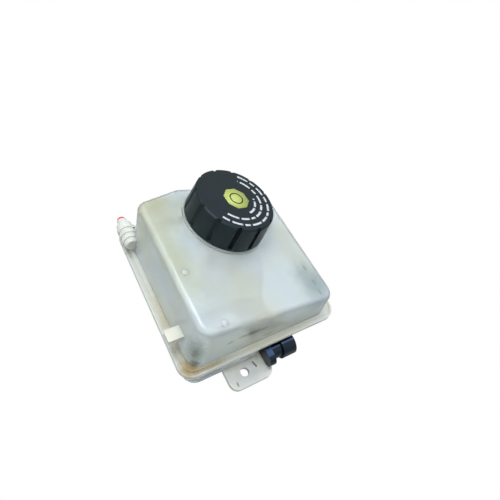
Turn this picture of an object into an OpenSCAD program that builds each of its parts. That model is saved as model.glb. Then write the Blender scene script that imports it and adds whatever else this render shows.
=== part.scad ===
// Brake fluid reservoir: a two-shell translucent tank with a sloping roof, a screw cap
// on an inclined neck, a float and reed-switch level sensor, and two outlets below.
// Sizes are in millimetres. Inside the modules the tank is measured from the front-left
// corner of its seam flange; the part's own origin is the seat of the left outlet.

/* [Seam flange] */
// Width of the flange, left to right
flange_w = 125; // [115:1:140]
// Depth of the flange, front to back
flange_d = 125; // [118:1:140]
// Radius of the flange corners, seen from above
flange_corner_r = 10; // [7:0.5:13]
// Thickness of the upper half of the flange
upper_flange_t = 2.5; // [2:0.25:3.5]
// Thickness of the lower half of the flange
lower_flange_t = 1.5; // [1.25:0.25:3]
// Width of the raised lip at the flange edge
lip_w = 1.3; // [0.8:0.1:1.6]
// Width of the groove inside the lip
groove_w = 2.2; // [1.2:0.1:2.6]
// Depth of the groove inside the lip
groove_depth = 1; // [0.4:0.1:1.5]

/* [Upper shell] */
// Wall thickness of both shells
wall = 2.5; // [2:0.1:3]
// Ledge left and right, from the flange edge to the foot of the wall
side_ledge = 6.2; // [5.2:0.1:8]
// Ledge front and back, from the flange edge to the foot of the wall
end_ledge = 4.7; // [4.4:0.1:6]
// Inward lean of the walls from foot to roof
draft = 1.3; // [0.5:0.1:2]
// Radius of the upright corners at the roof
body_corner_r = 9; // [7:0.5:12]
// Radius of the edge between the walls and the roof
roof_edge_r = 4.6; // [3.5:0.1:6]
// Height of the roof above the seam, over the left flange edge
roof_h = 48.6; // [46:0.2:54]
// Slope of the roof down to the right, in degrees
roof_slope = 12.8; // [8:0.2:15]
// How far the back-left corner is cut off along the back wall
corner_cut_x = 34; // [25:0.5:42]
// How far the back-left corner is cut off along the left wall
corner_cut_y = 11; // [8:0.5:18]

/* [Filler neck and cap] */
// Neck axis, from the left flange edge, where it meets the roof
neck_x = 63.9; // [60:0.1:66]
// Neck axis, from the back flange edge
neck_back = 40.1; // [38:0.1:42]
// Outer radius of the neck
neck_r = 23.4; // [22.5:0.1:23.8]
// Wall thickness of the neck
neck_wall = 2.6; // [2:0.1:3]
// Height of the neck above the roof
neck_h = 15; // [13:0.5:17]
// Radius of the raised collar round the neck
collar_r = 30.8; // [27:0.1:31.4]
// Height of the raised collar
collar_h = 1.2; // [0.6:0.1:1.6]
// Outer radius of the cap at its lower edge
cap_r = 30; // [29:0.1:31]
// Outer radius of the cap below its top bevel
cap_top_r = 28.6; // [28:0.1:29]
// Height of the cap
cap_h = 20.2; // [19.6:0.1:22]
// Height of the lower edge of the closed cap above the roof
cap_standoff = 2; // [1.8:0.1:3]
// Inner radius of the cap skirt
cap_inner_r = 25.9; // [25.2:0.1:26.2]
// Thickness of the cap top
cap_top_t = 2.4; // [2:0.1:2.6]
// Number of grip panels round the cap
grip_count = 12; // [8:1:16]
// Depth of the scoop beside each grip panel
grip_depth = 1.8; // [1:0.1:2]
// Radius that the grip scoops are cut with
grip_cut_r = 4.5; // [4:0.5:9]
// Turn of the grip pattern about the cap axis, in degrees
grip_phase = 9; // [0:1:29]

/* [Diaphragm and strainer] */
// Thickness of the sealing rim of the diaphragm
seal_t = 1.5; // [1:0.1:2]
// Thickness of the folded middle of the diaphragm
fold_t = 1; // [0.8:0.1:1.4]
// Depth that the diaphragm hangs below its rim
fold_depth = 7; // [5:0.5:9]
// Thickness of the strainer rim
strainer_rim_t = 1; // [0.8:0.1:1.4]
// Outer radius of the strainer basket
strainer_r = 18.6; // [17.5:0.1:19]
// Wall thickness of the strainer basket
strainer_wall = 1.2; // [1:0.1:1.5]
// Depth of the strainer floor below the roof
strainer_depth = 14; // [10:0.5:16]
// Number of windows round the strainer
strainer_windows = 12; // [8:1:16]
// Width of a strainer window
window_w = 3; // [2:0.25:4]
// Width of a slot in the strainer floor
floor_slot_w = 2; // [1:0.25:3]
// Length of a slot in the strainer floor
floor_slot_len = 22; // [12:1:24]

/* [Side lug and port] */
// Front side of the lug on the left wall, from the front flange edge
lug_y = 20.7; // [16:0.1:40]
// Width of the lug, front to back
lug_w = 8.3; // [6:0.1:10]
// Reach of the lug past the flange edge
lug_reach = 3.2; // [1:0.1:6]
// Top of the lug above the seam
lug_top = 20; // [15:0.5:24]
// Thickness of the lug
lug_t = 5.5; // [4:0.5:8]
// Axis of the side port, from the left flange edge
port_x = 4.3; // [4:0.1:5.5]
// Axis of the side port above the seam
port_z = 10; // [8:0.5:16]
// Front end of the side port's bulb, from the back flange edge
port_back = 24; // [22:0.5:27]
// Length of the bulb
bulb_len = 18; // [15:0.5:19]
// Radius of the bulb between its ribs
bulb_r = 5.4; // [5:0.1:5.8]
// Height of the bulb's ribs
bulb_rib = 0.85; // [0.4:0.05:1.2]
// Outer radius of the port tube
tube_r = 3.45; // [3:0.05:4]
// Length of the port tube beyond the bulb
tube_len = 4.6; // [4:0.1:8]
// Radius of the bore in the port tube
tube_bore_r = 1.75; // [1.25:0.05:2.2]
// Radius of the plug's head
plug_head_r = 2.8; // [2.5:0.1:3.4]
// Thickness of the plug's head
plug_head_t = 2.2; // [1.5:0.1:3]
// Length of the plug's stem
plug_stem = 7; // [5:0.5:9]

/* [Lower shell] */
// Depth of the lower shell below the seam
tank_depth = 21.5; // [20.5:0.5:24]
// Inset of the front, back and right walls from the flange edge
tub_inset = 0.5; // [0.3:0.1:1.5]
// Inset of the left wall from the flange edge
left_inset = 5; // [3:0.5:7]
// Radius between the lower walls and the floor
floor_edge_r = 4; // [3.2:0.1:5]
// Where the front recess for the sensor starts, from the left flange edge
recess_x = 60.5; // [59:0.5:61]
// Depth of the front recess, from the front flange edge
recess_y = 11; // [10.5:0.1:13]
// Thickness of the walls inside the tank
divider_t = 1.8; // [1.4:0.1:2.5]
// Place of the left divider, from the front flange edge
left_divider_y = 36; // [35:0.5:40]
// Place of the front divider, from the left flange edge
front_divider_x = 71.5; // [71:0.5:75]
// Height of the dividers and of the float chamber above the seam
divider_top = 6; // [3:0.5:8]

/* [Mounting tab] */
// Left edge of the tab, from the left flange edge
tab_x = 31.7; // [28:0.1:34]
// Width of the tab
tab_w = 33.6; // [30:0.1:33.8]
// Reach of the tab in front of the flange
tab_reach = 16; // [13:0.1:20]
// Thickness of the tab
tab_t = 3.5; // [2.5:0.1:3.6]
// Radius of the front corners of the tab
tab_corner_r = 6.5; // [3:0.5:8]
// Radius of the screw hole
screw_r = 3.2; // [2.5:0.1:3.6]
// Screw hole, from the left flange edge
screw_x = 45.4; // [42:0.1:48]
// Screw hole, in front of the flange
screw_out = 6.2; // [5:0.1:9]
// Slot beside the screw hole, from the left flange edge
slot_x = 54.5; // [52:0.1:57]
// Slot beside the screw hole, in front of the flange
slot_out = 3.9; // [3.5:0.1:9]
// Width of the slot
slot_w = 1.4; // [0.8:0.1:2]
// Length of the slot
slot_len = 5; // [4:0.1:7]
// Turn of the slot, in degrees
slot_turn = 15; // [0:1:30]

/* [Outlets] */
// Left outlet, from the left flange edge
outlet_x = 42; // [36:0.5:44]
// Spacing of the two outlets
outlet_pitch = 44; // [42:0.5:50]
// Outlets, from the back flange edge
outlet_back = 27; // [21:0.5:30]
// Outer radius of an outlet spigot
spigot_r = 8.9; // [8:0.1:10]
// Wall thickness of an outlet spigot
spigot_wall = 1.9; // [1.5:0.1:2.5]
// Length of an outlet spigot below the floor
spigot_len = 14; // [12:0.5:18]
// Length of the lead-in at the end of a spigot
spigot_lead = 2; // [1:0.1:3]

/* [Float chamber] */
// Centre of the float chamber, from the front flange edge
chamber_y = 57; // [55:0.5:58]
// Inner radius of the float chamber
chamber_r = 21; // [20:0.5:22]
// Width of the slots in the chamber wall
chamber_slot_w = 6; // [3:0.5:10]
// Radius of the post that guides the float
post_r = 2.4; // [2:0.1:3]
// Outer radius of the float
float_r = 19.4; // [17:0.2:19.6]
// Height of the float
float_h = 9; // [7:0.5:10]
// Chamfer round the top of the float
float_chamfer = 1.5; // [0.5:0.1:2.5]
// Travel of the float on its post
float_travel = 8; // [6:0.5:9]
// Outer radius of the ring magnet
magnet_r = 8; // [7:0.1:9]
// Height of the ring magnet
magnet_h = 3; // [2:0.1:4]
// Thickness of the clip on the post
clip_t = 1; // [0.8:0.1:1.5]
// Width of the clip's ring
clip_ring = 2.2; // [1.8:0.1:3]
// Width of the slits between the clip's teeth
clip_slit = 0.8; // [0.5:0.1:1.2]

/* [Level sensor] */
// Axis of the sensor stem and the float chamber, from the left flange edge
sensor_x = 64.2; // [64:0.1:64.6]
// Axis of the sensor above the underside of the tank
sensor_rise = 7.2; // [6.9:0.1:7.3]
// Axis of the connector barrel, in front of the flange edge
barrel_out = 1.35; // [1.2:0.05:2.5]
// Outer radius of the barrel's open collar
collar_out_r = 8.4; // [8:0.1:8.5]
// Wall thickness of the open collar
collar_wall = 1.4; // [1.2:0.1:1.8]
// Length of the open collar
collar_len = 10.8; // [9:0.2:14]
// Depth of the socket inside the collar
socket_depth = 9; // [7:0.5:10]
// Outer radius of the barrel's neck
barrel_neck_r = 6.6; // [6:0.1:7.2]
// Length of the barrel's neck
barrel_neck_len = 8.4; // [7:0.2:11]
// Thickness of the sensor head, left to right
head_t = 4.8; // [4.4:0.1:4.8]
// Height of the sensor head
head_h = 11.2; // [10:0.1:11.2]
// Front end of the head, in front of the flange edge
head_out = 11.6; // [10.5:0.1:13]
// Outer radius of the sensor stem
stem_r = 4.2; // [3.8:0.1:4.3]
// Radius of the hollow in the sensor stem
stem_bore_r = 2.4; // [2.3:0.05:2.5]
// Width of a contact blade
blade_w = 2.8; // [2.2:0.1:3]
// Thickness of a contact blade
blade_t = 0.8; // [0.6:0.1:1]
// Spacing of the two contact blades
blade_pitch = 4.8; // [4.2:0.1:5.4]
// Length of the reed switch's glass
reed_len = 14; // [10:0.5:18]
// Radius of the reed switch's glass
reed_r = 1.2; // [1:0.05:1.25]
// Radius of the reed switch's leads
lead_r = 0.3; // [0.25:0.05:0.35]

/* [Clearances] */
// Gap between parts that seat on each other
seat_gap = 0.1; // [0.05:0.05:0.3]
// Gap round a part that is fixed in a hole or pocket
fit_gap = 0.05; // [0.03:0.01:0.1]
// Gap round the sensor stem in its tunnel
stem_gap = 0.15; // [0.1:0.05:0.3]
// Gap round the post inside the float
post_gap = 0.8; // [0.4:0.1:1.2]

/* [Hidden] */
$fn = 96;
hull_fn = 32;
cut = 0.5;

neck_y = flange_d - neck_back;
port_y = flange_d - port_back;
outlet_y = flange_d - outlet_back;
body_left = side_ledge;
body_right = flange_w - side_ledge;
body_front = end_ledge;
body_back = flange_d - end_ledge;
foot_r = body_corner_r + draft;
cut_angle = atan(corner_cut_y / corner_cut_x);
body_corners = [
    [body_left + foot_r, body_front + foot_r],
    [body_right - foot_r, body_front + foot_r],
    [body_right - foot_r, body_back - foot_r],
    [body_left + corner_cut_x + foot_r * tan(cut_angle / 2), body_back - foot_r],
    [body_left + foot_r, body_back - corner_cut_y - foot_r * tan((90 - cut_angle) / 2)]];

neck_bore_r = neck_r - neck_wall;
plug_chamfer = 0.6;
strainer_top = neck_h + strainer_rim_t;
rim_outer_r = neck_r - fit_gap;
strainer_inner_r = strainer_r - strainer_wall;
seal_top = strainer_top + seal_t;
cup_r = strainer_inner_r - 1;
cap_bevel = 1;
cap_top = cap_standoff + cap_h;
cap_ceiling = cap_top - cap_top_t;
cap_seat_r = cup_r + 2.6;
seat_chamfer = 1;
skirt_chamfer = 0.8;
grip_band = 1.8;
floor_slot_pitch = 5;

seam_low = upper_flange_t + lower_flange_t;
// The sensor stays clear of the flange above it in a shallow tank too.
sensor_drop = max(tank_depth - sensor_rise, seam_low + collar_out_r + 0.3);
tunnel_r = stem_r + stem_gap;
tunnel_out_r = tunnel_r + 2;
// The floor of the float chamber rests on the tunnel that the sensor lies in.
chamber_low = sensor_drop - tunnel_out_r + 0.15;
chamber_floor = chamber_low - wall;

floor_top = tank_depth - wall;
tub_right = flange_w - tub_inset;
tub_back = flange_d - tub_inset;
tub_corner_r = flange_corner_r - tub_inset;
recess_corner_r = floor_edge_r + 1;

chamber_out_r = chamber_r + wall;
float_low = chamber_floor - 0.3;
clip_low = float_h + float_travel - float_low + 0.3;
post_top = clip_low + clip_t + 0.8;
clip_r = post_r + clip_ring;
float_bore_r = post_r + post_gap;
magnet_in_r = float_bore_r + 1;

boss_r = tunnel_out_r + 0.7;
boss_out = recess_y - 3;
stem_end = chamber_y - 1;
stem_cap_t = 1;
bore_end = stem_end + stem_cap_t + 0.3;
tunnel_end = bore_end + 1.7;
head_front = -head_out;
head_back = boss_out - seat_gap;
head_left = sensor_x - head_t / 2;
head_right = sensor_x + head_t / 2;
head_low = tank_depth - tab_t - 0.3;
head_tall = min(head_h, head_low - seam_low - 0.3);
barrel_neck_end = head_right + barrel_neck_len;
collar_end = barrel_neck_end + collar_len;
socket_start = collar_end - socket_depth;
blade_end = collar_end - 3.5;
blade_start = sensor_x + lead_r + fit_gap;
front_blade_y = -barrel_out - blade_pitch / 2;
rear_blade_y = -barrel_out + blade_pitch / 2;
reed_end = stem_end - 4;
reed_start = reed_end - reed_len;
reed_taper = 0.8;
lead_bend = reed_end + 1.5;
lead_rise = reed_r + lead_r + 0.3;
ring_r = 0.5;
ring_y = boss_out + 7;

function roof_z(x) = roof_h - tan(roof_slope) * x;

// The part's origin is the seat of the left outlet under the tank floor.
module in_tank() {
    translate([-outlet_x, -outlet_y, tank_depth]) children();
}

// The neck's own frame: its axis stands square on the sloping roof.
module on_neck() {
    in_tank() translate([neck_x, neck_y, roof_z(neck_x)]) rotate([0, roof_slope, 0]) children();
}

// Turns a shape that stands on Z so that it lies along Y.
module along_y() {
    rotate([-90, 0, 0]) children();
}

// Turns a shape that stands on Z so that it lies along X.
module along_x() {
    rotate([0, 90, 0]) children();
}

module rounded_rect(w, d, r) {
    translate([r, 0]) square([w - 2 * r, d]);
    translate([0, r]) square([w, d - 2 * r]);
    for (x = [r, w - r], y = [r, d - r]) translate([x, y]) circle(r);
}

// A disc with its upper edge rounded, the corner piece of both shells.
module rounded_disc(r, edge) {
    rotate_extrude($fn = hull_fn)
        polygon(concat([[0, 0], [r, 0]],
                       [for (a = [15 : 15 : 90]) [r - edge + edge * cos(a), edge * sin(a)]],
                       [[0, edge]]));
}

// The tank body above the seam, drawn in by an inset for its hollow.
module body_form(inset, foot) {
    edge = roof_edge_r - inset;
    hull() for (p = body_corners) {
        translate([p.x, p.y, foot]) cylinder(r = foot_r - inset, h = 1, $fn = hull_fn);
        translate([p.x, p.y, roof_z(p.x) - roof_edge_r / cos(roof_slope)])
            rotate([0, roof_slope, 0]) rounded_disc(body_corner_r - inset, edge);
    }
}

// A tub between two corners, with its own radius at the front-right corner.
module tub_form(x0, y0, x1, y1, r, r_front, inset, top) {
    edge = floor_edge_r - inset;
    hull() for (c = [[x0 + r, y0 + r, r], [x1 - r_front, y0 + r_front, r_front],
                     [x0 + r, y1 - r, r], [x1 - r, y1 - r, r]]) {
        translate([c.x, c.y, top]) mirror([0, 0, 1])
            cylinder(r = c.z - inset, h = 1, $fn = hull_fn);
        translate([c.x, c.y, floor_edge_r - tank_depth]) mirror([0, 0, 1])
            rounded_disc(c.z - inset, edge);
    }
}

module upper_shell() {
    color("#c6ccc4") in_tank() difference() {
        union() {
            translate([0, 0, -upper_flange_t]) linear_extrude(upper_flange_t)
                rounded_rect(flange_w, flange_d, flange_corner_r);
            body_form(0, -upper_flange_t);
            neck_form();
            lug_form();
            port_form();
        }
        body_form(wall, -upper_flange_t - cut);
        flange_groove();
        translate([neck_x, neck_y, roof_z(neck_x)]) rotate([0, roof_slope, 0])
            translate([0, 0, -2 * wall]) cylinder(r = neck_bore_r, h = neck_h + 2 * wall + cut);
        port_bore();
    }
}

module neck_form() {
    translate([neck_x, neck_y, roof_z(neck_x)]) rotate([0, roof_slope, 0]) {
        translate([0, 0, -wall]) cylinder(r = neck_r, h = neck_h + wall);
        translate([0, 0, -wall / 2]) cylinder(r = collar_r, h = collar_h + wall / 2);
    }
}

module flange_groove() {
    translate([0, 0, -groove_depth]) linear_extrude(groove_depth + cut) difference() {
        translate([lip_w, lip_w])
            rounded_rect(flange_w - 2 * lip_w, flange_d - 2 * lip_w, flange_corner_r - lip_w);
        translate([lip_w + groove_w, lip_w + groove_w])
            rounded_rect(flange_w - 2 * (lip_w + groove_w), flange_d - 2 * (lip_w + groove_w),
                         flange_corner_r - lip_w - groove_w);
    }
}

module lug_form() {
    lug_in = body_left + draft + 1;
    translate([-lug_reach, lug_y, lug_top - lug_t]) linear_extrude(lug_t)
        rounded_rect(lug_reach + lug_in, lug_w, 1);
}

// The side port lies along the left wall where the back-left corner is cut off.
module port_form() {
    rib_pitch = bulb_len / 4;
    translate([port_x, port_y, port_z]) along_y() {
        translate([0, 0, bulb_r / 2]) cylinder(r = bulb_r, h = bulb_len - bulb_r / 2);
        translate([0, 0, bulb_r / 2]) intersection() {
            sphere(bulb_r);
            translate([0, 0, -bulb_r / 2]) cylinder(r = bulb_r, h = bulb_r);
        }
        for (k = [0 : 2]) translate([0, 0, rib_pitch * (k + 0.75)])
            cylinder(r = bulb_r + bulb_rib, h = rib_pitch / 2);
        cylinder(r = tube_r, h = bulb_len + tube_len);
    }
}

module port_bore() {
    turn_y = port_y + bulb_r / 2 + tube_bore_r;
    translate([port_x, turn_y, port_z]) {
        along_y() cylinder(r = tube_bore_r, h = bulb_len + tube_len);
        sphere(tube_bore_r);
        along_x() cylinder(r = tube_bore_r, h = body_left + draft + wall);
    }
}

module lower_shell() {
    color("#c2cacb") in_tank() difference() {
        union() {
            difference() {
                union() {
                    translate([0, 0, -seam_low]) linear_extrude(lower_flange_t)
                        rounded_rect(flange_w, flange_d, flange_corner_r);
                    tub_block(0, -upper_flange_t);
                }
                tub_block(wall, -upper_flange_t + cut);
                chamber_recess();
            }
            mounting_tab();
            tank_dividers();
            chamber_wall();
            sensor_tunnel();
            for (k = [0, 1]) translate([outlet_x + k * outlet_pitch, outlet_y, -tank_depth])
                spigot_form();
        }
        for (k = [0, 1]) translate([outlet_x + k * outlet_pitch, outlet_y, -tank_depth])
            translate([0, 0, -spigot_len - cut])
                cylinder(r = spigot_r - spigot_wall, h = spigot_len + wall + 2 * cut);
        translate([sensor_x, boss_out - 3 * cut, -sensor_drop]) along_y()
            cylinder(r = tunnel_r, h = bore_end - boss_out + 3 * cut);
        tab_holes();
    }
}

// The full-width block behind the sensor recess, and the front-left block beside it.
module tub_block(inset, top) {
    tub_form(left_inset, recess_y, tub_right, tub_back, tub_corner_r, tub_corner_r, inset, top);
    tub_form(left_inset, tub_inset, recess_x, recess_y + 3 * tub_corner_r, tub_corner_r,
             recess_corner_r, inset, top);
}

module mounting_tab() {
    back = recess_y + wall / 2;
    r = tab_corner_r;
    translate([tab_x, -tab_reach, -tank_depth]) linear_extrude(tab_t) {
        translate([r, 0]) square([tab_w - 2 * r, tab_reach + back]);
        translate([0, r]) square([tab_w, tab_reach + back - r]);
        for (x = [r, tab_w - r]) translate([x, r]) circle(r);
    }
}

module tab_holes() {
    low = -tank_depth - cut;
    translate([screw_x, -screw_out, low]) cylinder(r = screw_r, h = tab_t + 2 * cut);
    translate([slot_x, -slot_out, low]) rotate([0, 0, slot_turn])
        translate([-slot_w / 2, -slot_len / 2, 0]) cube([slot_w, slot_len, tab_t + 2 * cut]);
}

module tank_dividers() {
    low = -floor_top - wall / 2;
    high = -upper_flange_t - seat_gap;
    in_wall = left_inset + wall / 2;
    clear_x = body_left + wall + 1.5;
    clear_y = body_back - wall - 1.5;
    chamber_side = sensor_x + 0.4
        - sqrt(pow(chamber_out_r, 2) - pow(chamber_y - left_divider_y, 2));
    // Left divider, from the left wall to the float chamber
    translate([in_wall, left_divider_y, low])
        cube([chamber_side - in_wall, divider_t, high - low]);
    translate([clear_x, left_divider_y, low])
        cube([chamber_side - clear_x, divider_t, divider_top - low]);
    // Front divider, from the recess wall to the float chamber
    translate([front_divider_x, recess_y + wall / 2, low])
        cube([divider_t, chamber_y - chamber_r - recess_y - wall / 2, divider_top - low]);
    // Rear divider, between the two outlets
    translate([sensor_x - divider_t / 2, chamber_y + chamber_r + wall / 2, low])
        cube([divider_t, tub_back - wall / 2 - chamber_y - chamber_r - wall / 2, high - low]);
    translate([sensor_x - divider_t / 2, chamber_y + chamber_r + wall / 2, low])
        cube([divider_t, clear_y - chamber_y - chamber_r - wall / 2, divider_top - low]);
}

// The open recess under the float chamber, which keeps its floor one wall thick.
module chamber_recess() {
    translate([sensor_x, chamber_y, -tank_depth - cut])
        cylinder(r = chamber_r, h = tank_depth - chamber_low + cut);
}

// The float chamber, its slotted wall and the post that guides the float.
module chamber_wall() {
    slots = 4;
    translate([sensor_x, chamber_y, 0]) {
        difference() {
            translate([0, 0, -tank_depth])
                cylinder(r = chamber_out_r, h = tank_depth + divider_top);
            translate([-sensor_x, -chamber_y, 0]) chamber_recess();
            translate([0, 0, -chamber_floor])
                cylinder(r = chamber_r, h = chamber_floor + divider_top + cut);
            for (k = [0 : slots - 1]) rotate([0, 0, 45 + 360 * k / slots])
                translate([chamber_r - wall, -chamber_slot_w / 2, -chamber_floor])
                    cube([3 * wall, chamber_slot_w, chamber_floor]);
        }
        translate([0, 0, -chamber_floor - wall / 2])
            cylinder(r = post_r, h = post_top + chamber_floor + wall / 2);
    }
}

// The dry tunnel that the sensor stem slides into, with a boss at its mouth.
module sensor_tunnel() {
    translate([sensor_x, boss_out, -sensor_drop]) along_y() {
        cylinder(r = tunnel_out_r, h = tunnel_end - boss_out);
        cylinder(r = boss_r, h = recess_y + wall / 2 - boss_out);
    }
}

module spigot_form() {
    mirror([0, 0, 1]) {
        translate([0, 0, -wall / 2])
            cylinder(r = spigot_r, h = spigot_len - spigot_lead + wall / 2);
        translate([0, 0, spigot_len - spigot_lead])
            cylinder(r1 = spigot_r, r2 = spigot_r - spigot_lead / 2, h = spigot_lead);
    }
}

module port_plug() {
    color("#d8362c") in_tank()
        translate([port_x, port_y + bulb_len + tube_len + seat_gap, port_z]) along_y() {
            cylinder(r = plug_head_r, h = plug_head_t - plug_chamfer);
            translate([0, 0, plug_head_t - plug_chamfer])
                cylinder(r1 = plug_head_r, r2 = plug_head_r - plug_chamfer, h = plug_chamfer);
            translate([0, 0, -plug_stem]) cylinder(r = tube_bore_r - fit_gap, h = plug_stem + cut);
        }
}

module filler_cap() {
    color("#2f353a") on_neck() difference() {
        rotate_extrude() polygon([
            [0, cap_ceiling], [cap_seat_r, cap_ceiling], [cap_seat_r, seal_top + seat_gap],
            [rim_outer_r - seat_chamfer, seal_top + seat_gap],
            [rim_outer_r, cap_ceiling - seat_chamfer], [cap_inner_r - seat_chamfer, cap_ceiling],
            [cap_inner_r, cap_ceiling - seat_chamfer],
            [cap_inner_r, cap_standoff + skirt_chamfer], [cap_inner_r + skirt_chamfer, cap_standoff],
            [cap_r, cap_standoff], [cap_top_r, cap_top - cap_bevel],
            [cap_top_r - cap_bevel, cap_top], [0, cap_top]]);
        for (k = [0 : grip_count - 1]) rotate([0, 0, grip_phase + k * 360 / grip_count])
            grip_scoop();
    }
}

// A scoop with a square face on one side that runs out along the skirt on the other,
// open at the top edge of the cap.
module grip_scoop() {
    low = cap_standoff + grip_band;
    lean = atan((cap_r - cap_top_r) / (cap_h - cap_bevel));
    translate([cap_r - grip_depth + grip_cut_r, 0, cap_standoff]) rotate([0, -lean, 0])
        translate([0, 0, -cap_standoff]) intersection() {
            translate([0, 0, low]) cylinder(r = grip_cut_r, h = cap_top - low + 2);
            translate([-grip_cut_r, -grip_cut_r, 0]) cube([grip_cut_r, grip_cut_r, cap_top + 2]);
        }
}

module cap_diaphragm() {
    low = seal_top - seal_t - fold_depth;
    rise = fold_depth / 2;
    middle_r = cup_r / 4;
    foot_r = middle_r + 2;
    color("#24272a") on_neck() rotate_extrude() polygon([
        [0, low + rise], [middle_r, low + rise], [foot_r, low], [cup_r, low],
        [cup_r, seal_top - seal_t + seat_gap], [rim_outer_r, seal_top - seal_t + seat_gap],
        [rim_outer_r, seal_top], [cup_r - fold_t, seal_top],
        [cup_r - fold_t, low + fold_t], [foot_r + fold_t / 2, low + fold_t],
        [middle_r + fold_t / 2, low + rise + fold_t], [0, low + rise + fold_t]]);
}

module strainer_basket() {
    window_low = window_w - strainer_depth;
    color("#e4e6df") on_neck() difference() {
        union() {
            translate([0, 0, neck_h + seat_gap])
                cylinder(r = rim_outer_r, h = strainer_rim_t - seat_gap);
            translate([0, 0, -strainer_depth])
                cylinder(r = strainer_r, h = strainer_depth + neck_h + strainer_rim_t);
        }
        translate([0, 0, strainer_wall - strainer_depth])
            cylinder(r = strainer_inner_r, h = strainer_depth + neck_h + 2);
        for (k = [0 : strainer_windows - 1]) rotate([0, 0, (k + 0.5) * 360 / strainer_windows])
            translate([strainer_inner_r - 1, -window_w / 2, window_low])
                cube([strainer_wall + 2, window_w, strainer_depth - 2 * window_w]);
        for (k = [-2 : 2])
            translate([k * floor_slot_pitch - floor_slot_w / 2, -floor_slot_len / 2,
                       -strainer_depth - cut])
                cube([floor_slot_w, floor_slot_len, strainer_wall + 2 * cut]);
    }
}

module level_float() {
    color("#d9c7a0") in_tank() translate([sensor_x, chamber_y, -float_low]) difference() {
        union() {
            cylinder(r = float_r, h = float_h - float_chamfer);
            translate([0, 0, float_h - float_chamfer])
                cylinder(r1 = float_r, r2 = float_r - float_chamfer, h = float_chamfer);
        }
        translate([0, 0, -cut]) cylinder(r = float_bore_r, h = float_h + 2 * cut);
        translate([0, 0, -cut]) difference() {
            cylinder(r = magnet_r + fit_gap, h = magnet_h + fit_gap + cut);
            cylinder(r = magnet_in_r - fit_gap, h = magnet_h + fit_gap + cut);
        }
    }
}

module float_magnet() {
    color("#4a4c50") in_tank() translate([sensor_x, chamber_y, -float_low]) difference() {
        cylinder(r = magnet_r, h = magnet_h);
        translate([0, 0, -cut]) cylinder(r = magnet_in_r, h = magnet_h + 2 * cut);
    }
}

module float_clip() {
    color("#b8bcc0") in_tank() translate([sensor_x, chamber_y, clip_low]) difference() {
        cylinder(r = clip_r, h = clip_t);
        translate([0, 0, -cut]) cylinder(r = post_r + fit_gap, h = clip_t + 2 * cut);
        for (a = [0 : 120 : 240]) rotate([0, 0, a])
            translate([0, -clip_slit / 2, -cut])
                cube([post_r + clip_ring / 2, clip_slit, clip_t + 2 * cut]);
    }
}

module sensor_housing() {
    color("#14181b") in_tank() difference() {
        union() {
            sensor_head();
            translate([head_right - 1, -barrel_out, -sensor_drop]) along_x() {
                cylinder(r = barrel_neck_r, h = barrel_neck_len + 1);
                translate([0, 0, barrel_neck_len + 1]) cylinder(r = collar_out_r, h = collar_len);
            }
            translate([sensor_x, head_back - 1, -sensor_drop]) along_y()
                cylinder(r = stem_r, h = stem_end - head_back + 1);
        }
        translate([socket_start, -barrel_out, -sensor_drop]) along_x()
            cylinder(r = collar_out_r - collar_wall, h = socket_depth + cut);
        translate([sensor_x, head_back - 2, -sensor_drop]) along_y()
            cylinder(r = stem_bore_r, h = stem_end - head_back + 3);
        translate([sensor_x, ring_y - ring_r - fit_gap, -sensor_drop]) along_y() difference() {
            cylinder(r = stem_r + cut, h = 2 * (ring_r + fit_gap));
            cylinder(r = tunnel_r - 2 * ring_r - fit_gap, h = 2 * (ring_r + fit_gap));
        }
        translate([sensor_x - 1, front_blade_y - 1.5, -sensor_drop - 0.8])
            cube([2, head_back - front_blade_y, lead_rise + lead_r + 1.2]);
        for (y = [front_blade_y, rear_blade_y]) blade(y, fit_gap);
    }
}

// The head is a flat block with a round front end; the stem leaves its back face.
module sensor_head() {
    r = head_tall / 2;
    translate([head_left, 0, r - head_low]) rotate([90, 0, 90]) linear_extrude(head_t) {
        translate([head_front + r, 0]) circle(r);
        translate([head_front + r, -r]) square([head_back - head_front - r, head_tall]);
    }
}

module blade(y, gap) {
    translate([blade_start - gap, y - blade_w / 2 - gap, -sensor_drop - blade_t / 2 - gap])
        cube([blade_end - blade_start + 2 * gap, blade_w + 2 * gap, blade_t + 2 * gap]);
}

module terminal_front() {
    color("#c9a95c") in_tank() blade(front_blade_y, 0);
}

module terminal_rear() {
    color("#c9a95c") in_tank() blade(rear_blade_y, 0);
}

module sensor_o_ring() {
    color("#1c1c1c") in_tank() translate([sensor_x, ring_y, -sensor_drop]) along_y()
        rotate_extrude() translate([tunnel_r - ring_r - fit_gap, 0]) circle(ring_r - fit_gap / 2);
}

module sensor_stem_cap() {
    color("#14181b") in_tank() translate([sensor_x, stem_end + fit_gap, -sensor_drop]) along_y() {
        cylinder(r = stem_r, h = stem_cap_t);
        translate([0, 0, -1.5]) cylinder(r = stem_bore_r - fit_gap, h = 2);
    }
}

module reed_switch() {
    color("#b9cfc4") in_tank() translate([sensor_x, reed_start, -sensor_drop]) along_y() {
        translate([0, 0, reed_taper]) cylinder(r = reed_r, h = reed_len - 2 * reed_taper);
        cylinder(r1 = reed_r / 2, r2 = reed_r, h = reed_taper);
        translate([0, 0, reed_len - reed_taper])
            cylinder(r1 = reed_r, r2 = reed_r / 2, h = reed_taper);
    }
}

// The front lead runs straight to the rear blade.
module reed_lead_front() {
    color("#b0b4b8") in_tank() translate([sensor_x, rear_blade_y, -sensor_drop]) along_y()
        cylinder(r = lead_r, h = reed_start - fit_gap - rear_blade_y);
}

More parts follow.
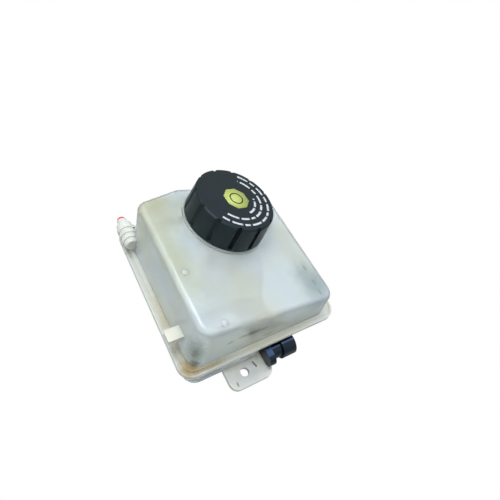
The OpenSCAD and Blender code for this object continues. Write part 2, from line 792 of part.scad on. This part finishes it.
// The rear lead turns back over the glass to the front blade.
module reed_lead_rear() {
    color("#b0b4b8") in_tank() translate([sensor_x, 0, -sensor_drop]) {
        translate([0, reed_end + fit_gap, 0]) along_y()
            cylinder(r = lead_r, h = lead_bend - reed_end - fit_gap);
        translate([0, lead_bend, 0]) sphere(lead_r);
        translate([0, lead_bend, 0]) cylinder(r = lead_r, h = lead_rise);
        translate([0, lead_bend, lead_rise]) sphere(lead_r);
        translate([0, front_blade_y, lead_rise]) along_y()
            cylinder(r = lead_r, h = lead_bend - front_blade_y);
        translate([0, front_blade_y, lead_rise]) sphere(lead_r);
        translate([0, front_blade_y, 0]) cylinder(r = lead_r, h = lead_rise);
    }
}

upper_shell();
lower_shell();
port_plug();
filler_cap();
cap_diaphragm();
strainer_basket();
level_float();
float_magnet();
float_clip();
sensor_housing();
sensor_o_ring();
sensor_stem_cap();
terminal_front();
terminal_rear();
reed_switch();
reed_lead_front();
reed_lead_rear();
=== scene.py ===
import math
import bmesh
import bpy
from mathutils import Matrix, Vector


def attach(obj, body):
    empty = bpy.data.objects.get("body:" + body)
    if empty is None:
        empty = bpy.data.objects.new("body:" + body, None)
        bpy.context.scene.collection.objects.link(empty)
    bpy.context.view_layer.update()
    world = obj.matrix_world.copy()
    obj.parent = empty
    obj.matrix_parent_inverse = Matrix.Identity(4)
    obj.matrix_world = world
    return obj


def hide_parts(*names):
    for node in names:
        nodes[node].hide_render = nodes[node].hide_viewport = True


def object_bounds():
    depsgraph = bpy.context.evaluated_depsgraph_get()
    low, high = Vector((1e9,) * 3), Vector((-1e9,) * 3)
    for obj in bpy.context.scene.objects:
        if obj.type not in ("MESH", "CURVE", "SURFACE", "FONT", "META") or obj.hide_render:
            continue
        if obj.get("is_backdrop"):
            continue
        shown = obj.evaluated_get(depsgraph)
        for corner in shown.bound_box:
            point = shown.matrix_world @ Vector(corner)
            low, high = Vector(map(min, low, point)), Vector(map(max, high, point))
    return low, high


mm = 0.001

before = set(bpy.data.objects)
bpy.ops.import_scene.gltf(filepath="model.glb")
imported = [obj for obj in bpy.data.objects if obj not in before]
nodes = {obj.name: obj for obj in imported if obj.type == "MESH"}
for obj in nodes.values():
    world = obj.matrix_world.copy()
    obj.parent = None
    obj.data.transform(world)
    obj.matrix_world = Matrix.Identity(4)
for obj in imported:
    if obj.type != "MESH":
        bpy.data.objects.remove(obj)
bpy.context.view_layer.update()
print("frame loaded:", len(nodes), "nodes")

# Places are given from the front-left corner of the tank's seam flange, in millimetres, with z = 0
# on top of the flange. The frame's own origin is the seat of the left outlet.
tank = {
    "outletSeat": (42, 98, -21.5),
    "roofHeight": 48.6,
    "roofSlope": 12.8,
}

neck = {
    "x": 63.9,
    "y": 84.9,
    "radius": 23.4,
}

slope = math.radians(tank["roofSlope"])


def roofZ(x):
    return tank["roofHeight"] - math.tan(slope) * x


def place(x, y, z):
    seat = tank["outletSeat"]
    return Vector((x - seat[0], y - seat[1], z - seat[2])) * mm


# The neck's frame: millimetres, z along its axis, zero where the axis meets the roof
onNeck = (Matrix.Translation(place(neck["x"], neck["y"], roofZ(neck["x"])))
          @ Matrix.Rotation(slope, 4, "Y") @ Matrix.Scale(mm, 4))


# Materials


# sRGB hex to linear, along the standard's own curve
def hexColour(text):
    channels = [int(text[i:i + 2], 16) / 255 for i in (1, 3, 5)]
    linear = [c / 12.92 if c <= 0.04045 else ((c + 0.055) / 1.055) ** 2.4 for c in channels]
    return (*linear, 1.0)


def addNode(tree, kind, settings=None, links=None):
    node = tree.nodes.new(kind)
    for name, value in (settings or {}).items():
        if isinstance(name, int) or name in node.inputs:
            node.inputs[name].default_value = value
        else:
            setattr(node, name, value)
    for name, source in (links or {}).items():
        tree.links.new(source, node.inputs[name])
    return node


# A Mix node's colour sockets, two in and one out
firstColour, secondColour, mixedColour = 6, 7, 2

noiseLow, noiseHigh = 0.3, 0.7      # noise rarely leaves this range


def newMaterial(name):
    material = bpy.data.materials.new(name)
    material.use_nodes = True
    material.node_tree.nodes.clear()
    return material, material.node_tree


def finishMaterial(tree, shader):
    addNode(tree, "ShaderNodeOutputMaterial", None, {"Surface": shader.outputs[0]})


# What a patch has where it says nothing else
stainAndShadeDefaults = {
    "reach": 1.45,      # where it ends, in shares of its size, before the noise moves that
    "ragged": 0.9,
    "grain": 2.0,
    "soft": 0.7,
}


# A patch is a soft mark of another colour round a place on the tank, broken up by noise; most are
# stains and dirt, a few are painted shade
def addPatch(tree, coords, colour, patch):
    look = dict(stainAndShadeDefaults, **patch)
    away = addNode(tree, "ShaderNodeVectorMath",
                   {"operation": "SUBTRACT", 1: place(*look["at"])}, {0: coords})
    scaled = addNode(tree, "ShaderNodeVectorMath",
                     {"operation": "DIVIDE", 1: [size * mm for size in look["size"]]},
                     {0: away.outputs[0]})
    distance = addNode(tree, "ShaderNodeVectorMath", {"operation": "LENGTH"},
                       {0: scaled.outputs[0]})
    noise = addNode(tree, "ShaderNodeTexNoise",
                    {"Scale": 1 / (look["grain"] * mm), "Detail": 4.0, "Roughness": 0.6},
                    {"Vector": coords})
    ragged = addNode(tree, "ShaderNodeMath", {"operation": "MULTIPLY_ADD", 1: look["ragged"]},
                     {0: noise.outputs[0], 2: distance.outputs["Value"]})
    mask = addNode(tree, "ShaderNodeMapRange",
                   {"From Min": look["reach"], "From Max": look["reach"] - look["soft"],
                    "To Min": 0.0, "To Max": look["strength"]},
                   {"Value": ragged.outputs[0]})
    mixed = addNode(tree, "ShaderNodeMix", {"data_type": "RGBA"}, {0: mask.outputs[0]})
    mixed.inputs[secondColour].default_value = hexColour(look["colour"])
    tree.links.new(colour, mixed.inputs[firstColour])
    return mixed.outputs[mixedColour]


# The fine grain of a surface, and a roughness that wanders a little with its clouds
def addSurface(tree, coords, clouds, look):
    grain = addNode(tree, "ShaderNodeTexNoise",
                    {"Scale": 1 / (look["grain"] * mm), "Detail": 2.0}, {"Vector": coords})
    bump = addNode(tree, "ShaderNodeBump",
                   {"Strength": look["relief"], "Distance": look["grainHeight"] * mm},
                   {"Height": grain.outputs[0]})
    rough = addNode(tree, "ShaderNodeMapRange",
                    {"From Min": noiseLow, "From Max": noiseHigh,
                     "To Min": look["roughness"] - look["wander"],
                     "To Max": look["roughness"] + look["wander"]},
                    {"Value": clouds.outputs[0]})
    return rough.outputs[0], bump.outputs[0]


# Polypropylene, injection moulded and unpigmented: light goes in, scatters and comes out, so the
# walls look milky, thin edges glow, and what lies inside shows as soft shadows
milkyTank = {
    "body": "#edf9fb",
    "aged": "#eff1df",
    "agedSize": 38,
    "agedFrom": 0.4,
    "agedTo": 0.72,
    "roughness": 0.17,
    "wander": 0.03,
    "ior": 1.49,
    "seeThrough": 0.52,
    "clearShare": 0.22,
    "clearRoughness": 0.05,
    "scatter": 1.0,
    "scatterDepth": 5.0,
    "scatterSpread": (1.0, 1.0, 0.9),
    "grain": 0.35,
    "grainHeight": 0.02,
    "relief": 0.35,
}

# Where the same plastic is thick, as in the flange, the lug and the tab, it looks like ivory
milkyThick = dict(milkyTank, body="#d7d9d1", aged="#d5d3c1", roughness=0.4, seeThrough=0.06,
                  clearShare=0.0, scatterDepth=3.0)

tankStainsAndShade = [
    # ochre grease in the groove, thickest in the front-left corner
    {"at": (7, 6.5, -0.3), "size": (10, 10, 2.4), "colour": "#a08743", "strength": 0.8,
     "grain": 3},
    {"at": (20, 3, -0.6), "size": (17, 2.6, 1.6), "colour": "#ab9455", "strength": 0.65},
    {"at": (5, 32, -0.6), "size": (2.4, 42, 1.6), "colour": "#ab9a62", "strength": 0.55},
    # road dirt in the corner behind the lug
    {"at": (9, 9, 18), "size": (7, 9, 22), "colour": "#5d614b", "strength": 0.7,
     "grain": 2.2, "soft": 0.9},
    {"at": (10, 7, 4), "size": (5, 4, 5), "colour": "#4f4d3c", "strength": 0.7,
     "grain": 1.6, "soft": 0.7},
    # the tab is painted darker grey, as painted shade from the flange above it, with a thin dark
    # mark in its corner, painted shade standing in for a small slit; the flange beside it is
    # specked
    {"at": (47, -9, -18), "size": (21, 12, 5), "colour": "#a9abaa", "strength": 0.7,
     "grain": 6, "soft": 1.1},
    {"at": (36.8, -11.8, -18), "size": (0.7, 2.3, 1.5), "colour": "#6b6857", "strength": 0.85,
     "grain": 1, "soft": 0.4},
    {"at": (19.1, -2.4, -0.4), "size": (9, 1.3, 1.6), "colour": "#665f4a", "strength": 0.55,
     "grain": 0.8, "soft": 0.3},
]

# Faint smudges near the roof's right edge
roofSmudges = ((106.1, 33.9, 24.5), (106.2, 21, 24.5), (105.6, 12.5, 24.6))
tankStainsAndShade += [
    {"at": spot, "size": (1.7, 3.2, 2), "colour": "#8b8674", "strength": 0.4, "grain": 1.3,
     "soft": 0.5} for spot in roofSmudges]

# The roof is painted darker and yellower behind the neck and along the left, and darker and bluer
# at the front right: painted shade that evens out the roof's brightness under the lamps
tankStainsAndShade += [
    {"at": (16, 62, 46), "size": (15, 48, 12), "colour": "#cfd3b4", "strength": 0.7, "grain": 12,
     "soft": 1.1},
    {"at": (106, 20, 25), "size": (20, 26, 14), "colour": "#9fb0ba", "strength": 0.8,
     "grain": 12, "soft": 1.1},
    {"at": (24, 104, 42), "size": (34, 26, 20), "colour": "#c9c193", "strength": 0.6,
     "grain": 14, "soft": 1.1},
]

# Dirt smeared along the front wall: x, z, half width, half height, strength
wallDirt = (
    (31.2, 20.9, 3.6, 2.6, 0.45), (40.2, 22.6, 4.6, 3.2, 0.5), (45.6, 22.0, 5.4, 4.0, 0.6),
    (50.6, 21.2, 5.0, 3.6, 0.55), (56.0, 20.8, 4.4, 2.6, 0.45),
)
frontWall = {"y": 5.5, "depth": 3}
tankStainsAndShade += [
    {"at": (x, frontWall["y"], z), "size": (wide, frontWall["depth"], tall),
     "colour": "#4d4b40", "strength": strength, "grain": 1.5, "soft": 0.9}
    for x, z, wide, tall, strength in wallDirt]

# Painted bluish shade lower down on the front wall, above the connector
tankStainsAndShade += [
    {"at": (63.9, frontWall["y"], 7.5), "size": (7, frontWall["depth"], 2.4),
     "colour": "#8f9dab", "strength": 0.5, "grain": 1.0, "soft": 0.8},
]


def makeMilkyPlastic(name, look, patches):
    material, tree = newMaterial(name)
    coords = addNode(tree, "ShaderNodeTexCoord").outputs["Object"]
    clouds = addNode(tree, "ShaderNodeTexNoise",
                     {"Scale": 1 / (look["agedSize"] * mm), "Detail": 3.0}, {"Vector": coords})
    share = addNode(tree, "ShaderNodeMapRange",
                    {"From Min": look["agedFrom"], "From Max": look["agedTo"]},
                    {"Value": clouds.outputs[0]})
    mixed = addNode(tree, "ShaderNodeMix", {"data_type": "RGBA"}, {0: share.outputs[0]})
    mixed.inputs[firstColour].default_value = hexColour(look["body"])
    mixed.inputs[secondColour].default_value = hexColour(look["aged"])
    colour = mixed.outputs[mixedColour]
    for patch in patches:
        colour = addPatch(tree, coords, colour, patch)
    rough, bump = addSurface(tree, coords, clouds, look)
    shader = addNode(tree, "ShaderNodeBsdfPrincipled",
                     {"IOR": look["ior"], "Transmission Weight": look["seeThrough"],
                      "Subsurface Weight": look["scatter"],
                      "Subsurface Radius": look["scatterSpread"],
                      "Subsurface Scale": look["scatterDepth"] * mm},
                     {"Base Color": colour, "Roughness": rough, "Normal": bump})
    if look["clearShare"]:
        clear = addNode(tree, "ShaderNodeBsdfPrincipled",
                        {"IOR": look["ior"], "Transmission Weight": 1.0,
                         "Roughness": look["clearRoughness"]},
                        {"Base Color": colour, "Normal": bump})
        shader = addNode(tree, "ShaderNodeMixShader", {0: look["clearShare"]},
                         {1: shader.outputs[0], 2: clear.outputs[0]})
    finishMaterial(tree, shader)
    return material


# What a finish has where it says nothing else
plainFinish = {
    "ior": 1.5,
    "metal": 0.0,
    "clear": 0.0,
    "cast": "#ffffff",
    "wander": 0.05,
    "relief": 0.5,
}


# Every other moulding, rubber, foam, ink, glass or metal: a base colour with a faint cloud of a
# second one, a fine grain and a roughness that wanders a little
def makeFinish(name, given):
    look = dict(plainFinish, **given)
    material, tree = newMaterial(name)
    coords = addNode(tree, "ShaderNodeTexCoord").outputs["Object"]
    clouds = addNode(tree, "ShaderNodeTexNoise",
                     {"Scale": 1 / (look["cloud"] * mm), "Detail": 4.0, "Roughness": 0.6},
                     {"Vector": coords})
    mixed = addNode(tree, "ShaderNodeMix", {"data_type": "RGBA"}, {0: clouds.outputs[0]})
    mixed.inputs[firstColour].default_value = hexColour(look["colour"])
    mixed.inputs[secondColour].default_value = hexColour(look["second"])
    rough, bump = addSurface(tree, coords, clouds, look)
    shader = addNode(tree, "ShaderNodeBsdfPrincipled",
                     {"Metallic": look["metal"], "IOR": look["ior"],
                      "Transmission Weight": look["clear"],
                      "Specular Tint": hexColour(look["cast"])},
                     {"Base Color": mixed.outputs[mixedColour], "Roughness": rough,
                      "Normal": bump})
    finishMaterial(tree, shader)
    return material


finishes = {
    # Glass-filled nylon, moulded in a fine spark texture: near black, a broad soft sheen
    "capNylon": {"colour": "#0a1215", "second": "#131b1f", "cloud": 14, "grain": 0.3,
                 "grainHeight": 0.03, "roughness": 0.4, "ior": 1.47, "cast": "#d4ecf2"},
    # PBT, moulded in a polished tool: black with a blue cast where it mirrors the light
    "sensorPbt": {"colour": "#03070b", "second": "#070e15", "cloud": 9, "grain": 0.25,
                  "grainHeight": 0.012, "roughness": 0.15, "ior": 1.57, "cast": "#b9d4f2"},
    # Low-density polyethylene, moulded red: waxy
    "plugPolyethylene": {"colour": "#e0382e", "second": "#cf2f28", "cloud": 3, "grain": 0.2,
                         "grainHeight": 0.01, "roughness": 0.4, "ior": 1.51},
    # EPDM rubber, moulded: dull, nearly black
    "rubberEpdm": {"colour": "#1e2022", "second": "#2a2c2d", "cloud": 6, "grain": 0.2,
                   "grainHeight": 0.02, "roughness": 0.7, "ior": 1.52},
    # Polypropylene, natural, moulded thin: bone white
    "strainerPolypropylene": {"colour": "#e4e6df", "second": "#dcdccb", "cloud": 8,
                              "grain": 0.3, "grainHeight": 0.01, "roughness": 0.4, "ior": 1.49},
    # Polypropylene foam, moulded from beads: chalky white with fine cells
    "floatFoam": {"colour": "#dfe3e0", "second": "#d3d8d6", "cloud": 1.2, "grain": 0.5,
                  "grainHeight": 0.15, "roughness": 0.85, "ior": 1.45},
    # Ferrite, sintered and ground: dull charcoal
    "magnetFerrite": {"colour": "#3c3e42", "second": "#4b4d51", "cloud": 2, "grain": 0.1,
                      "grainHeight": 0.01, "roughness": 0.55, "ior": 2.2},
    # Spring steel strip, stamped: bright grey
    "springSteel": {"colour": "#b4b8bc", "second": "#a4a9ae", "cloud": 3, "grain": 0.15,
                    "grainHeight": 0.006, "roughness": 0.3, "metal": 1.0},
    # Brass strip, tin flashed: pale gold
    "contactBrass": {"colour": "#c9a95c", "second": "#cdbb86", "cloud": 2, "grain": 0.15,
                     "grainHeight": 0.006, "roughness": 0.28, "metal": 1.0},
    # Soda-lime glass tube, drawn: clear with a green cast
    "reedGlass": {"colour": "#cfe0d6", "second": "#c2d8cc", "cloud": 3, "grain": 0.3,
                  "grainHeight": 0.002, "roughness": 0.06, "ior": 1.52, "clear": 0.9},
    # Pad-printing ink, white and yellow-green: flat, a little chalky
    "printWhite": {"colour": "#ccd0d0", "second": "#b2b8b9", "cloud": 1.5, "grain": 0.2,
                   "grainHeight": 0.008, "roughness": 0.55},
    "printLime": {"colour": "#b3be66", "second": "#acb85e", "cloud": 4, "grain": 0.2,
                  "grainHeight": 0.008, "roughness": 0.5},
}

materials = {name: makeFinish(name, look) for name, look in finishes.items()}
materials["tankMilky"] = makeMilkyPlastic("tankPolypropylene", milkyTank, tankStainsAndShade)
materials["tankIvory"] = makeMilkyPlastic("tankPolypropyleneThick", milkyThick, tankStainsAndShade)
print("materials made:", len(materials))


# Pieces


def newMesh(name, bm):
    mesh = bpy.data.meshes.new(name)
    bm.to_mesh(mesh)
    bm.free()
    return mesh


def newObject(name, data):
    thing = bpy.data.objects.new(name, data)
    bpy.context.scene.collection.objects.link(thing)
    return thing


def newPiece(name, bm, material, body):
    mesh = newMesh(name, bm)
    piece = newObject(name, mesh)
    mesh.materials.append(materials[material])
    mesh.shade_smooth()
    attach(piece, body)
    return piece


mouldForm = {
    "merge": 0.002,
    "flat": 1.0,        # degrees, under which neighbouring triangles are one face
    "sharp": 35,        # degrees, over which an edge gets its radius
    "segments": 2,
    "weight": 100,
}


# A moulding keeps its CAD form: its triangles are merged to clean faces, and every sharp edge
# gets the small radius that a mould leaves
def mouldedCopy(look):
    source = nodes[look["node"]]
    bm = bmesh.new()
    bm.from_mesh(source.data)
    bmesh.ops.remove_doubles(bm, verts=bm.verts, dist=mouldForm["merge"] * mm)
    bmesh.ops.dissolve_limit(bm, angle_limit=math.radians(mouldForm["flat"]),
                             verts=bm.verts, edges=bm.edges)
    for low, high in look.get("thickZones", ()):
        corner, far = place(*low), place(*high)
        for face in bm.faces:
            middle = face.calc_center_median()
            if all(corner[i] <= middle[i] <= far[i] for i in range(3)):
                face.material_index = 1
    piece = newPiece(look["name"], bm, look["material"], look["body"])
    if look.get("thickZones"):
        piece.data.materials.append(materials[look["thickMaterial"]])
    bevel = piece.modifiers.new("mouldEdge", "BEVEL")
    bevel.width = look["edge"] * mm
    bevel.segments = mouldForm["segments"]
    bevel.limit_method = "ANGLE"
    bevel.angle_limit = math.radians(mouldForm["sharp"])
    weighted = piece.modifiers.new("flatFaces", "WEIGHTED_NORMAL")
    weighted.weight = mouldForm["weight"]
    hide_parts(look["node"])


mouldings = [
    {"node": "upper_shell", "name": "upper_tank", "material": "tankMilky", "body": "reservoir",
     "slot": "upper_shell", "edge": 0.3, "thickMaterial": "tankIvory", "thickZones": [
         [(-1, -1, -4), (126, 126, 0.4)],      # flange
         [(-4, 19, 13), (8.2, 30, 21)],        # lug
         [(-4, 100, 3), (9.6, 126, 17)]]},     # side port
    {"node": "lower_shell", "name": "lower_tank", "material": "tankMilky", "body": "reservoir",
     "slot": "lower_shell", "edge": 0.3, "thickMaterial": "tankIvory", "thickZones": [
         [(-1, -1, -4.2), (126, 126, -2.4)],   # flange
         [(30, -17, -22), (66, 0.4, -17)]]},   # tab
    {"node": "filler_cap", "name": "screw_cap", "material": "capNylon", "body": "cap",
     "slot": "cap_black", "edge": 0.4},
    {"node": "sensor_housing", "name": "sensor_body", "material": "sensorPbt",
     "body": "reservoir", "slot": "sensor_black", "edge": 0.25},
    {"node": "port_plug", "name": "port_cap", "material": "plugPolyethylene", "body": "plug",
     "slot": "red_plug", "edge": 0.2},
]

for look in mouldings:
    mouldedCopy(look)
print("mouldings made:", len(mouldings))

# The inner pieces keep their CAD mesh and get their real finish
innerFinish = {
    "cap_diaphragm": "rubberEpdm",
    "strainer_basket": "strainerPolypropylene",
    "level_float": "floatFoam",
    "float_magnet": "magnetFerrite",
    "float_clip": "springSteel",
    "sensor_o_ring": "rubberEpdm",
    "sensor_stem_cap": "sensorPbt",
    "terminal_front": "contactBrass",
    "terminal_rear": "contactBrass",
    "reed_switch": "reedGlass",
    "reed_lead_front": "springSteel",
    "reed_lead_rear": "springSteel",
}

for name, finish in innerFinish.items():
    nodes[name].data.materials.clear()
    nodes[name].data.materials.append(materials[finish])
print("inner pieces finished:", len(innerFinish))


# A piece drawn in the neck's frame goes to its place with its faces pointing outwards
def newNeckPiece(name, bm, material, body):
    bmesh.ops.recalc_face_normals(bm, faces=bm.faces)
    bmesh.ops.transform(bm, matrix=onNeck, verts=bm.verts)
    newPiece(name, bm, material, body)


capPrint = {
    "top": 22.2,
    "ink": 0.05,
    "arcStep": 5,
    "badgeRadius": 9.4,
    "badgeTurn": 25,
    "ringRadius": 4.6,
    "ringWidth": 0.9,
    # rows of plain bars: radius, first and last angle
    "rows": ((23.8, -143, 62), (18.6, -139, 58), (13.9, -75, -6)),
    "rowShift": 3,      # each row starts this many lengths further on
    "barLengths": (5.2, 7.4, 4.1, 8.3, 6.2, 3.6, 7.0),
    "barGap": 1.7,
    "barHeight": 1.6,
}


# A flat band of ink along an arc about Z: a closed strip, or a ring when it goes all the way round
def arcBand(bm, look, radius, width, start, end, low):
    turn = Matrix.Rotation(math.radians(start), 3, "Z")
    inner, outer, high = radius - width / 2, radius + width / 2, low + look["ink"]
    corners = [bm.verts.new(turn @ Vector((r, 0, z)))
               for r, z in ((inner, low), (outer, low), (outer, high), (inner, high))]
    ring = end - start == 360
    if ring:
        sides = [bm.edges.new((corners[i - 1], corners[i])) for i in range(len(corners))]
        profile = corners + sides
    else:
        profile = [bm.faces.new(corners)]
    bmesh.ops.spin(bm, geom=profile, axis=(0, 0, 1), cent=(0, 0, 0),
                   angle=math.radians(end - start),
                   steps=max(1, round((end - start) / look["arcStep"])), use_merge=ring)


def makeCapPrint(look):
    bm = bmesh.new()
    bmesh.ops.create_cone(bm, cap_ends=True, segments=8, radius1=look["badgeRadius"],
                          radius2=look["badgeRadius"], depth=look["ink"],
                          matrix=Matrix.Translation((0, 0, look["top"] + look["ink"] / 2))
                          @ Matrix.Rotation(math.radians(look["badgeTurn"]), 4, "Z"))
    newNeckPiece("cap_badge", bm, "printLime", "cap")

    bm = bmesh.new()
    arcBand(bm, look, look["ringRadius"], look["ringWidth"], 0, 360, look["top"] + look["ink"])
    newNeckPiece("cap_badge_ring", bm, "capNylon", "cap")

    bm = bmesh.new()
    lengths = look["barLengths"]
    for row, (radius, start, end) in enumerate(look["rows"]):
        angle, count = start, row * look["rowShift"]
        while angle < end:
            span = math.degrees(lengths[count % len(lengths)] / radius)
            arcBand(bm, look, radius, look["barHeight"], angle, min(angle + span, end),
                    look["top"])
            angle += span + math.degrees(look["barGap"] / radius)
            count += 1
    newNeckPiece("cap_print_bars", bm, "printWhite", "cap")


makeCapPrint(capPrint)
print("cap print made")

thread = {
    "pitch": 4.0,
    "ridge": 1.5,
    "foot": 2.2,
    "crest": 0.8,
    "sink": 0.3,
    "turns": 1.75,
    "turnSteps": 72,
    "low": 5.0,
}


# The thread on the neck shows when the cap is unscrewed
def makeNeckThread(look):
    bm = bmesh.new()
    root = neck["radius"] - look["sink"]
    crest = neck["radius"] + look["ridge"]
    corners = [bm.verts.new((r, 0, look["low"] + z)) for r, z in (
        (root, -look["foot"] / 2), (crest, -look["crest"] / 2), (crest, look["crest"] / 2),
        (root, look["foot"] / 2))]
    profile = bm.faces.new(corners)
    steps = round(look["turns"] * look["turnSteps"])
    bmesh.ops.spin(bm, geom=[profile], axis=(0, 0, 1), cent=(0, 0, 0),
                   dvec=(0, 0, look["pitch"] * look["turns"] / steps),
                   angle=math.radians(360 * look["turns"]), steps=steps)
    newNeckPiece("neck_thread", bm, "tankMilky", "reservoir")


makeNeckThread(thread)
print("neck thread made")

gateMarks = {
    "radius": 2.3,
    "rise": 0.22,
    "segments": 32,
    "rings": 12,
    "places": ((16.9, 49.2), (24.9, 11)),
}


# Flat domes where the plastic was fed in; the roof is thick there and looks paler
def makeGateMarks(look):
    bm = bmesh.new()
    for x, y in look["places"]:
        seat = (Matrix.Translation(place(x, y, roofZ(x))) @ Matrix.Rotation(slope, 4, "Y")
                @ Matrix.Diagonal((look["radius"], look["radius"], look["rise"], 1))
                @ Matrix.Scale(mm, 4))
        bmesh.ops.create_uvsphere(bm, u_segments=look["segments"], v_segments=look["rings"],
                                  radius=1.0, matrix=seat)
    newPiece("roof_gate_marks", bm, "tankIvory", "reservoir")


makeGateMarks(gateMarks)
print("gate marks made")


# Floor, light and camera

studio = {
    "floorDrop": 0.1,
    "floorReach": 3.0,      # metres to each side
    "white": "#ffffff",
    "paper": "#a5a8a8",
    "horizonLight": 0.36,
    "zenithLight": 0.95,
}


# The camera sees plain white paper, also through the plastic; the light that the part gets back
# from it is softer
def makeFloor(look):
    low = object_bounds()[0][2] - look["floorDrop"] * mm
    bm = bmesh.new()
    bmesh.ops.create_grid(bm, x_segments=4, y_segments=4, size=look["floorReach"])
    bmesh.ops.translate(bm, verts=bm.verts, vec=(0, 0, low))
    mesh = newMesh("floor", bm)
    floor = newObject("floor", mesh)
    material, tree = newMaterial("paperWhite")
    ray = addNode(tree, "ShaderNodeLightPath")
    share = addNode(tree, "ShaderNodeMath", {"operation": "MAXIMUM"},
                    {0: ray.outputs["Is Camera Ray"], 1: ray.outputs["Is Transmission Ray"]})
    paper = addNode(tree, "ShaderNodeBsdfDiffuse", {"Color": hexColour(look["paper"])})
    glow = addNode(tree, "ShaderNodeEmission", {"Color": hexColour(look["white"])})
    both = addNode(tree, "ShaderNodeMixShader", None,
                   {0: share.outputs[0], 1: paper.outputs[0], 2: glow.outputs[0]})
    finishMaterial(tree, both)
    mesh.materials.append(material)
    floor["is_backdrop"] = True


# A tent of light: bright overhead, dimmer towards the horizon, and white where it is seen
def makeWorld(look):
    world = bpy.data.worlds.new("studio")
    bpy.context.scene.world = world
    world.use_nodes = True
    tree = world.node_tree
    tree.nodes.clear()
    direction = addNode(tree, "ShaderNodeTexCoord").outputs["Generated"]
    height = addNode(tree, "ShaderNodeSeparateXYZ", None, {0: direction})
    level = addNode(tree, "ShaderNodeMapRange",
                    {"To Min": look["horizonLight"], "To Max": look["zenithLight"]},
                    {"Value": height.outputs["Z"]})
    ray = addNode(tree, "ShaderNodeLightPath")
    seen = addNode(tree, "ShaderNodeMath", {"operation": "MAXIMUM"},
                   {0: level.outputs[0], 1: ray.outputs["Is Camera Ray"]})
    sky = addNode(tree, "ShaderNodeBackground", {"Color": hexColour(look["white"])},
                  {"Strength": seen.outputs[0]})
    addNode(tree, "ShaderNodeOutputWorld", None, {"Surface": sky.outputs[0]})


lamps = [
    {"name": "overhead", "at": (-0.08, 0.08, 0.8), "size": 0.5, "watts": 5.0,
     "colour": "#f1f7ff"},
    {"name": "leftFill", "at": (-0.8, -0.25, 0.3), "size": 0.6, "watts": 0.9,
     "colour": "#eef4ff"},
    {"name": "coolRight", "at": (0.42, 0.0, 0.7), "size": 0.22, "watts": 0.7,
     "colour": "#a9ccff"},
]


def makeLamp(look):
    light = bpy.data.lights.new(look["name"], "AREA")
    light.energy = look["watts"]
    light.size = look["size"]
    light.color = hexColour(look["colour"])[:3]
    lamp = newObject(look["name"], light)
    lamp.location = look["at"]
    lamp.rotation_euler = (-Vector(look["at"])).to_track_quat("-Z", "Y").to_euler()


cameraView = {
    "at": (-101.53, -160.91, 277.63),
    "turn": (36.19, -13.995, -29.23),
    "lens": 29.78,
    "sensor": 36,
    "shift": (-0.002, -0.0014),
    "nearest": 10,
}


def makeCamera(look):
    data = bpy.data.cameras.new("camera")
    data.lens = look["lens"]
    data.sensor_width = look["sensor"]
    data.shift_x, data.shift_y = look["shift"]
    data.clip_start = look["nearest"] * mm
    camera = newObject("camera", data)
    camera.location = Vector(look["at"]) * mm
    camera.rotation_euler = [math.radians(a) for a in look["turn"]]
    bpy.context.scene.camera = camera


makeFloor(studio)
makeWorld(studio)
for look in lamps:
    makeLamp(look)
makeCamera(cameraView)
bpy.context.scene.view_settings.view_transform = "Standard"
print("studio made")
